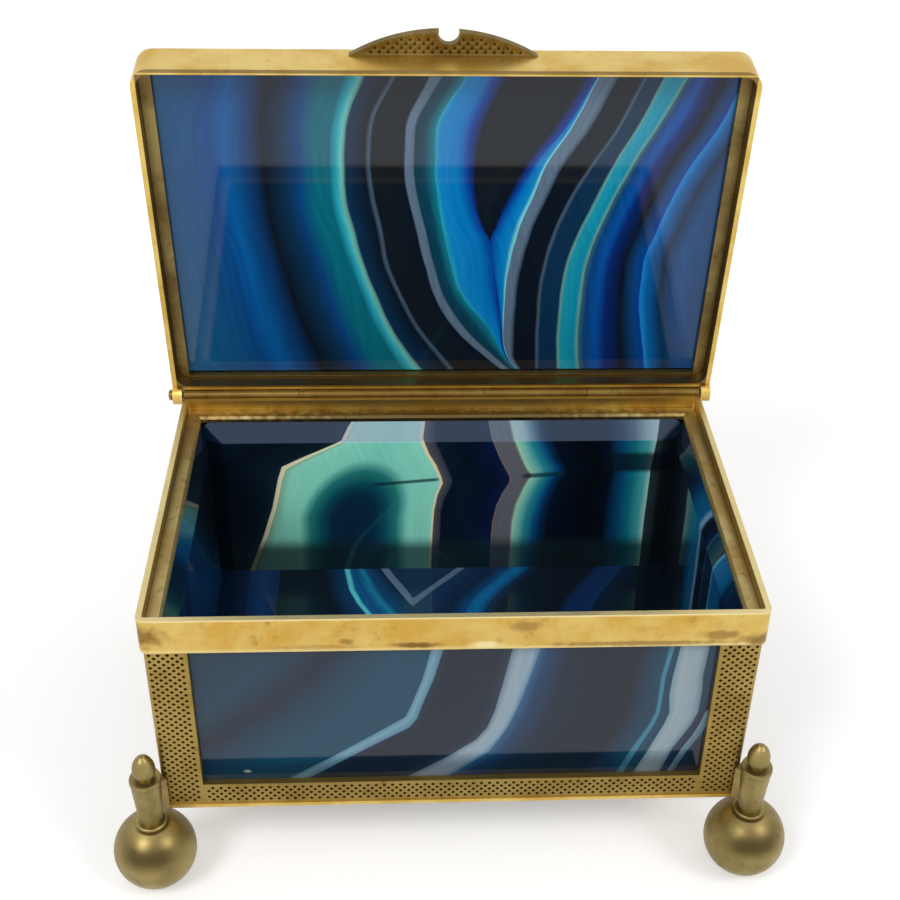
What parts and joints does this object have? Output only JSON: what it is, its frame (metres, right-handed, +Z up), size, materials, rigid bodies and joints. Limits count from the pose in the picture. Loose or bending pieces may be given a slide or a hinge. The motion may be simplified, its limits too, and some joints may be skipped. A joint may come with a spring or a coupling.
{
  "type": "miniature agate casket",
  "caption": "Small keepsake casket: agate plates in a gilt brass frame on ball feet, with a hinged lid that stands open on a stop.",
  "frame": {"origin": "on the table, under the middle of the casket's rim", "axes": "+X to the casket's right as its front is seen, +Y to the back where the hinge is, +Z up"},
  "size_m": [0.0844, 0.06, 0.0923],
  "materials": {
    "agate": "banded blue agate, cut in slices, polished and slightly translucent",
    "gilt_brass": "gilt brass, satin, with brown tarnish in the corners",
    "pricked_brass": "gilt brass with rows of pricked dots, darker in the pits",
    "foot_brass": "turned brass, dull and brownish with age",
    "hinge_brass": "drawn brass tube, worn bright along the top"
  },
  "bodies": {
    "casket": {"rim_band": "gilt_brass", "wall_bezel": "gilt_brass", "bottom_frame": "gilt_brass", "corner_stile_front_left": "pricked_brass", "corner_stile_front_right": "pricked_brass", "corner_stile_back_left": "pricked_brass", "corner_stile_back_right": "pricked_brass", "bottom_rail_front": "pricked_brass", "bottom_rail_back": "pricked_brass", "bottom_rail_left": "pricked_brass", "bottom_rail_right": "pricked_brass", "agate_front": "agate", "agate_back": "agate", "agate_left": "agate", "agate_right": "agate", "agate_floor": "agate", "corner_posts": "gilt_brass", "foot_ball_front_left": "foot_brass", "foot_ball_front_right": "foot_brass", "foot_ball_back_left": "foot_brass", "foot_ball_back_right": "foot_brass", "foot_post_front_left": "foot_brass", "foot_post_front_right": "foot_brass", "foot_post_back_left": "foot_brass", "foot_post_back_right": "foot_brass", "foot_studs": "foot_brass", "hinge_knuckle_left": "hinge_brass", "hinge_knuckle_right": "hinge_brass", "hinge_pin": "hinge_brass", "hinge_stop_rail": "hinge_brass"},
    "lid": {"lid_band": "gilt_brass", "lid_bezel": "gilt_brass", "lid_agate": "agate", "lid_top_frame": "gilt_brass", "lid_thumbpiece": "pricked_brass", "lid_knuckle": "hinge_brass"}
  },
  "joints": [
    {"name": "lid_hinge", "type": "hinge", "parent": "casket", "child": "lid", "pos_m": [0, 0.02435, 0.0408], "axis": [1, 0, 0], "range_deg": [0, 83]}
  ]
}
